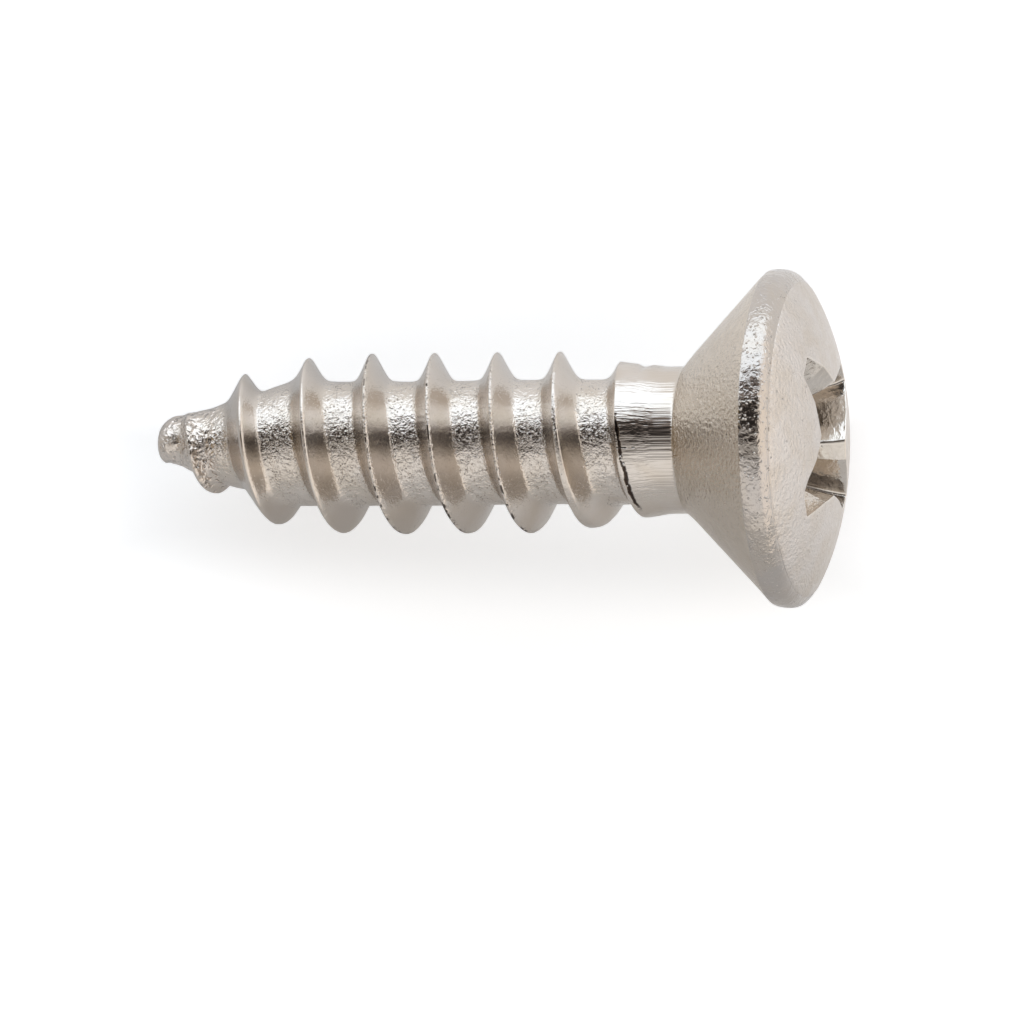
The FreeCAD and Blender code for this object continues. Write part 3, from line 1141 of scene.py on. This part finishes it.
@dataclass(frozen=True)
class Plating:
    """Nickel plating with one kind of grain and clouds of stain.

    Colours are display colours, the relief is in thousandths of a millimetre, and a scale
    counts features in a millimetre.
    """

    name: str
    grain: Grain
    colour: Display = (213, 204, 195)
    stain: Display = (198, 184, 166)
    stain_share: float = 0.4
    stain_scale: float = 1.3
    stain_edge: Span = (0.35, 0.7)
    soil_and_shade_colour: Display = (62, 52, 46)
    roughness: float = 0.35
    roughness_spread: float = 0.08
    patch_coarser: float = 0.4
    patch_edge: Span = (0.3, 0.7)
    relief: float = 6.0
    scale: float = 10.0

    def height(self, desk: NodeDesk, place: Socket) -> Socket:
        """Return the relief of this grain as a height from about 0 to 1."""
        return self.grain.value.height(desk, place, self.scale)

    def roughness_at(self, desk: NodeDesk, place: Socket) -> Socket:
        """Return the uneven roughness of the plating.

        Args:
            desk: the material's nodes.
            place: the point's place on the screw.

        Returns:
            The roughness.
        """
        uneven = desk.noise(place, self.scale * self.patch_coarser, detail=2.0)
        low, high = self.roughness - self.roughness_spread, self.roughness + self.roughness_spread
        return desk.ramp(uneven, *self.patch_edge, low, high)

    def relief_share(self, desk: NodeDesk) -> Value:
        """Return how much of the relief shows."""
        return 1.0

    def soil_and_shade(self, desk: NodeDesk, place: Socket) -> Value:
        """Return how much dark colour lies in the surface: dirt, and painted shade on the thread's flanks.
        """
        return 0.0

    def material(self) -> bpy.types.Material:
        """Build the material.

        Returns:
            The material, a metal with its colour, roughness and relief.
        """
        material = bpy.data.materials.new(self.name)
        material.use_nodes = True
        desk = NodeDesk(material.node_tree)
        place = desk.place()
        shader = desk.node("ShaderNodeBsdfPrincipled")
        shader.inputs["Metallic"].default_value = 1.0
        cloud = desk.noise(place, self.stain_scale, detail=3.0, twist=0.4)
        cloud = desk.ramp(cloud, *self.stain_edge, to_high=self.stain_share)
        clean = desk.mix(cloud, linear(*self.colour), linear(*self.stain))
        # The dark colour is dirt, and on the thread's flanks painted shade.
        desk.feed(shader, Base_Color=desk.mix(self.soil_and_shade(desk, place), clean, linear(*self.soil_and_shade_colour)))
        desk.feed(shader, Roughness=self.roughness_at(desk, place))
        bump = desk.node("ShaderNodeBump")
        desk.feed(bump, Strength=self.relief_share(desk), Distance=self.relief * MICRON,
                  Height=self.height(desk, place))
        desk.link(bump.outputs[0], shader.inputs["Normal"])
        out = desk.node("ShaderNodeOutputMaterial")
        desk.link(shader.outputs[0], out.inputs[0])
        return material


@dataclass(frozen=True)
class ThreadPlating(Plating):
    """Plating of the thread: wrinkled on the groove's floor, smooth on its flanks, worn on the crest."""

    flank_roughness: float = 0.20
    flank_relief: float = 0.2
    flank_painted_shade: float = 0.04
    rough_share: float = 0.9
    nose_fade: Span = (1.1, 2.1)
    worn_radius: Span = (1.70, 1.765)
    dash_scale: float = 6.0
    dash_edge: Span = (0.53, 0.58)
    dash_share: float = 0.9
    dash_radius: Span = (1.769, 1.777)

    def roughness_at(self, desk: NodeDesk, place: Socket) -> Socket:
        """Return the plating's own roughness on the groove's floor, and the flanks' roughness elsewhere.

        Args:
            desk: the material's nodes.
            place: the point's place on the screw.

        Returns:
            The roughness.
        """
        even = super().roughness_at(desk, place)
        on_floor = desk.times(even, self.floor(desk))
        off_floor = desk.math("SUBTRACT", 1.0, self.floor(desk))
        return desk.add(on_floor, desk.times(off_floor, self.flank_roughness))

    def relief_share(self, desk: NodeDesk) -> Socket:
        """Return a relief that is lower on the flanks, but not near the nose or on the worn crest.

        Args:
            desk: the material's nodes.

        Returns:
            The share of the relief that shows.
        """
        station = desk.parts(desk.place())[2]
        by_nose = desk.ramp(station, *self.nose_fade, to_low=self.rough_share, to_high=0.0)
        on_crest = desk.ramp(self.radius(desk), *self.worn_radius, to_high=self.rough_share)
        rough = desk.larger(self.floor(desk), desk.larger(by_nose, on_crest))
        return desk.ramp(rough, 0.0, 1.0, to_low=self.flank_relief)

    def soil_and_shade(self, desk: NodeDesk, place: Socket) -> Socket:
        """Return broken dark dashes along the worn crest and a thin brown painted shade on the flanks, for
        the shade between the crests.

        Args:
            desk: the material's nodes.
            place: the point's place on the screw.

        Returns:
            The share of dark colour: dashes on the crest, painted shade on the flanks.
        """
        dash = desk.ramp(desk.noise(place, self.dash_scale), *self.dash_edge, to_high=self.dash_share)
        dash = desk.times(dash, desk.ramp(self.radius(desk), *self.dash_radius))
        # Painted shade: the flanks take a thin share of the dark colour, for the shade between the crests.
        return desk.larger(dash, desk.ramp(self.floor(desk), 0.0, 1.0, to_low=self.flank_painted_shade, to_high=0.0))

    @staticmethod
    def radius(desk: NodeDesk) -> Socket:
        """Return the distance from the axis."""
        part = desk.parts(desk.place())
        return desk.math("SQRT", desk.add(desk.times(part[0], part[0]), desk.times(part[1], part[1])))

    @staticmethod
    def floor(desk: NodeDesk) -> Socket:
        """Return the share of groove floor at a point."""
        return desk.node("ShaderNodeAttribute", attribute_name="groove_floor").outputs["Fac"]


@dataclass(frozen=True)
class Fold:
    """A torn fold that winds beside the last crest, measured in turns."""

    count: float = 6.945
    width: Span = (0.014, 0.036)
    wander: float = 0.10
    wander_scale: float = 4.0
    begins: Span = (0.19, 0.22)
    stops: Span = (0.40, 0.44)
    tear_scale: float = 7.0
    tear: Span = (0.33, 0.41)

    def mark(self, desk: NodeDesk, place: Socket) -> Socket:
        """Return 1 in the fold and 0 elsewhere.

        Args:
            desk: the material's nodes.
            place: the point's place on the screw.

        Returns:
            The share of fold.
        """
        part = desk.parts(place)
        turn = desk.times(desk.math("ARCTAN2", part[1], part[0]), 1 / TURN)
        wound = desk.times(desk.add(part[2], -Thread.first_crest), 1 / Thread.pitch)
        count = desk.add(wound, desk.times(turn, -1.0))
        wander = desk.times(desk.add(desk.noise(place, self.wander_scale, detail=3.0), -0.5), self.wander)
        off = desk.math("ABSOLUTE", desk.add(desk.add(count, -self.count), wander))
        line = desk.fall(off, *self.width)
        reach = desk.times(desk.ramp(turn, *self.begins), desk.fall(turn, *self.stops))
        torn = desk.ramp(desk.noise(place, self.tear_scale), *self.tear)
        return desk.times(line, desk.times(reach, torn))


@dataclass(frozen=True)
class Scratch:
    """One broken scratch along the shank, in millimetres."""

    x: float = -0.155
    width: Span = (0.008, 0.018)
    side: Span = (0.0, 0.1)
    begins: Span = (9.52, 9.56)
    stops: Span = (9.98, 10.04)
    gap_scale: float = 9.0
    gap: Span = (0.36, 0.5)

    def mark(self, desk: NodeDesk, place: Socket) -> Socket:
        """Return 1 in the scratch and 0 elsewhere.

        Args:
            desk: the material's nodes.
            place: the point's place on the screw.

        Returns:
            The share of scratch.
        """
        part = desk.parts(place)
        off = desk.math("ABSOLUTE", desk.add(part[0], -self.x))
        line = desk.times(desk.fall(off, *self.width), desk.ramp(part[1], *self.side))
        reach = desk.times(desk.ramp(part[2], *self.begins), desk.fall(part[2], *self.stops))
        broken = desk.ramp(desk.noise(place, self.gap_scale, detail=1.0), *self.gap)
        return desk.times(line, desk.times(reach, broken))


@dataclass(frozen=True)
class ShankPlating(Plating):
    """Plating of the plain shank: drawn lines along it, and a torn fold at the thread's end."""

    fold: Fold = Fold()
    scratch: Scratch = Scratch()
    mark_depth: float = 1.6

    def height(self, desk: NodeDesk, place: Socket) -> Socket:
        """Return the relief of the drawn lines, the fold and a scratch."""
        return desk.add(super().height(desk, place), desk.times(self.soil_and_shade(desk, place), -self.mark_depth))

    def soil_and_shade(self, desk: NodeDesk, place: Socket) -> Socket:
        """Return 1 in the fold and the scratch, where dirt stays."""
        return desk.larger(self.fold.mark(desk, place), self.scratch.mark(desk, place))


FINISHES = {
    Zone.NOSE: Plating(
        "nose_plating", Grain.WRINKLED, colour=(220, 210, 201), roughness=0.20, relief=125, scale=6.5),
    Zone.THREAD: ThreadPlating(
        "thread_plating", Grain.WRINKLED, roughness=0.11, roughness_spread=0.04, relief=44, scale=15),
    Zone.SHANK: ShankPlating(
        "shank_plating", Grain.STRIATED, roughness=0.11, roughness_spread=0.04, relief=18, scale=7),
    Zone.SEAT: Plating(
        "seat_plating", Grain.PITTED, colour=(210, 198, 184), roughness=0.19, roughness_spread=0.06,
        relief=38, scale=12),
    Zone.LAND: Plating(
        "land_plating", Grain.BLOTCHY, colour=(191, 183, 176), roughness=0.08, relief=36, scale=11),
    Zone.DOME: Plating(
        "dome_plating", Grain.PITTED, colour=(214, 206, 199), roughness=0.36, relief=38, scale=14),
    Zone.RECESS: Plating(
        "recess_plating", Grain.COMBED, colour=(216, 208, 199), stain_share=0.3, roughness=0.16,
        roughness_spread=0.05, relief=12, scale=9),
}


@dataclass(frozen=True)
class Paper:
    """The white table. Its glow is painted light: it is a little brighter where the screw's shadow doesn't
    reach, which narrows the shadow.

    The spans are places on the table in metres. The nose lies towards -x and the head towards
    +x, and a slant turns an edge away from the x axis.
    """

    half: float = 0.6
    shade: float = 0.83
    lift: float = 0.40
    painted_clear_lift: float = 0.17
    mirror_edge: Span = (-0.004, 0.005)
    mirror_slant: float = 0.5
    before_edge: Span = (-0.0037, -0.0020)
    before_slant: float = 0.08
    beyond_edge: Span = (0.0, 0.001)
    past_head: Span = (0.0062, 0.0090)
    past_nose: Span = (-0.0100, -0.0066)

    def glow(self, desk: NodeDesk) -> Socket:
        """Return the painted light that the paper adds, more of it away from the shadow.

        Args:
            desk: the material's nodes.

        Returns:
            The strength: in the picture everywhere, and in the screw's mirror only beyond it, which is
                painted light in the screw's reflections.
        """
        ray = desk.node("ShaderNodeLightPath").outputs
        position = desk.node("ShaderNodeNewGeometry").outputs["Position"]
        spot = desk.parts(position)
        beyond = desk.ramp(desk.add(spot[1], desk.times(spot[0], self.mirror_slant)), *self.mirror_edge)
        before = desk.fall(desk.add(spot[1], desk.times(spot[0], self.before_slant)), *self.before_edge)
        beside = desk.larger(desk.ramp(spot[1], *self.beyond_edge), desk.ramp(spot[0], *self.past_head))
        beside = desk.larger(beside, desk.fall(spot[0], *self.past_nose))
        # Painted light: the paper glows more away from the screw's shadow, which narrows the shadow.
        clear = desk.times(desk.larger(before, beside), self.painted_clear_lift)
        # Painted light in reflections: the metal sees the paper glow only beyond the screw.
        painted_mirror_light = desk.times(desk.times(ray["Is Glossy Ray"], beyond), self.lift)
        direct = desk.larger(ray["Is Camera Ray"], ray["Is Transmission Ray"])
        seen = desk.times(direct, desk.add(clear, self.lift))
        return desk.larger(seen, painted_mirror_light)

    def material(self) -> bpy.types.Material:
        """Build the paper's material.

        Returns:
            A matt white with its added light.
        """
        material = bpy.data.materials.new("white_paper")
        material.use_nodes = True
        desk = NodeDesk(material.node_tree)
        shader = desk.node("ShaderNodeBsdfDiffuse")
        desk.feed(shader, Color=(self.shade, self.shade, self.shade, 1.0))
        strength = self.glow(desk)
        glow = desk.feed(desk.node("ShaderNodeEmission"), Strength=strength)
        both = desk.node("ShaderNodeAddShader")
        desk.link(shader.outputs[0], both.inputs[0])
        desk.link(glow.outputs[0], both.inputs[1])
        desk.link(both.outputs[0], desk.node("ShaderNodeOutputMaterial").inputs[0])
        return material

    def build(self) -> bpy.types.Object:
        """Build the table.

        Returns:
            The table.
        """
        half = self.half
        corners = [(-half, -half, 0), (half, -half, 0), (half, half, 0), (-half, half, 0)]
        mesh = bpy.data.meshes.new("table_top")
        mesh.from_pydata(corners, [], [(0, 1, 2, 3)])
        mesh.materials.append(self.material())
        table = bpy.data.objects.new("table_top", mesh)
        bpy.context.scene.collection.objects.link(table)
        return table


@dataclass(frozen=True)
class Tent:
    """Soft light from all round: cool beyond the screw, dark overhead, weaker before it.

    The profile gives the level at each angle of height, from 0 beyond the screw over the top to
    180 before it. A brown panel hangs past the nose and a grey one past the head.
    """

    profile: Line = (
        (0, 1.62), (6, 1.76), (24, 1.76), (33, 1.62), (42, 1.45), (46, 1.00), (48, 0.42), (58, 0.18),
        (66, 0.03), (84, 0.03), (89, 0.20), (98, 0.50), (112, 0.60), (116, 0.93), (124, 1.02),
        (140, 1.07), (158, 0.72), (180, 0.52),
    )
    strength: float = 2.0
    cool: tuple[float, float, float] = (0.96, 1.07, 1.19)
    cool_below: float = 48
    warm: tuple[float, float, float] = (1.12, 1.0, 0.96)
    warm_below: float = 90
    plain: tuple[float, float, float] = (1.0, 1.0, 1.0)
    nose_panel: Light = (0.18, 0.145, 0.10, 1.0)
    nose_edge: Span = (-0.98, -0.86)
    head_panel: Light = (0.66, 0.63, 0.60, 1.0)
    head_edge: Span = (0.50, 0.85)

    def tint(self, angle: float) -> tuple[float, float, float]:
        """Return the tint of the light at an angle of the profile."""
        warm = self.warm if angle < self.warm_below else self.plain
        return self.cool if angle < self.cool_below else warm

    def light(self) -> bpy.types.World:
        """Light the scene.

        Returns:
            The world that gives the light.
        """
        world = bpy.data.worlds.new("soft_boxes")
        world.use_nodes = True
        desk = NodeDesk(world.node_tree)
        way = desk.parts(desk.node("ShaderNodeTexCoord").outputs["Generated"])
        height = desk.larger(way[2], 0.0)
        turn = desk.times(desk.math("ARCTAN2", height, way[1]), 1 / math.pi)
        boxes = desk.node("ShaderNodeValToRGB")
        stops = boxes.color_ramp.elements
        for number, (angle, level) in enumerate(self.profile):
            position = angle / HALF_TURN_DEG
            stop = stops[number] if number < 2 else stops.new(position)
            stop.position = position
            stop.color = (*(level / self.strength * share for share in self.tint(angle)), 1.0)
        desk.link(turn, boxes.inputs[0])
        colour = desk.mix(desk.fall(way[0], *self.nose_edge), boxes.outputs[0], self.nose_panel)
        colour = desk.mix(desk.ramp(way[0], *self.head_edge), colour, self.head_panel)
        background = desk.node("ShaderNodeBackground")
        desk.feed(background, Color=colour, Strength=self.strength)
        desk.link(background.outputs[0], desk.node("ShaderNodeOutputWorld").inputs[0])
        bpy.context.scene.world = world
        return world


@dataclass(frozen=True)
class ProductCamera:
    """A long lens that looks down on the screw, a little from its head's side."""

    focal_px: float = 12000.0
    frame_px: float = 1024.0
    sensor_mm: float = 36.0
    distance_mm: float = 236.0
    aim_station: float = 4.70
    aim_x_mm: float = -2.403
    aim_y_mm: float = 1.341
    tilt_deg: float = 14.16
    roll_deg: float = 0.83
    clip_m: Span = (0.01, 5.0)

    def place(self, pose: Pose) -> bpy.types.Object:
        """Make the camera and set it as the scene's.

        Args:
            pose: how the screw lies.

        Returns:
            The camera.
        """
        tilt, roll = math.radians(self.tilt_deg), math.radians(self.roll_deg)
        along = Vector((math.cos(tilt) * math.cos(roll), math.cos(tilt) * math.sin(roll), math.sin(tilt)))
        up = Vector((-math.sin(roll), math.cos(roll), 0))
        seen = Matrix((up, along.cross(up), along)).transposed()
        screw = pose.matrix()
        turn = screw.to_3x3() @ seen.inverted()
        aim = screw @ Vector((0, 0, self.aim_station * MM))
        offset = Vector((self.aim_x_mm, self.aim_y_mm, -self.distance_mm)) * MM
        data = bpy.data.cameras.new("product_camera")
        data.sensor_width = self.sensor_mm
        data.lens = self.focal_px / self.frame_px * self.sensor_mm
        data.clip_start, data.clip_end = self.clip_m
        camera = bpy.data.objects.new("product_camera", data)
        camera.matrix_world = Matrix.Translation(aim - turn @ offset) @ turn.to_4x4()
        bpy.context.scene.collection.objects.link(camera)
        bpy.context.scene.camera = camera
        return camera


def main() -> None:
    """Build the screw's skin, the table, the light and the camera."""
    logging.basicConfig(level=logging.INFO, format="%(name)s: %(message)s")
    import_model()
    screw = Screw()
    skin = screw.build()
    screw.dress(skin)
    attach(skin, "root")
    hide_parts("screw")
    log.info("screw skin: %d faces", len(skin.data.polygons))
    Paper().build()
    Tent().light()
    log.info("table and light are up")
    ProductCamera().place(screw.pose)
    bpy.context.scene.view_settings.view_transform = "Standard"
    log.info("sizes are written")


if __name__ == "__main__":
    main()
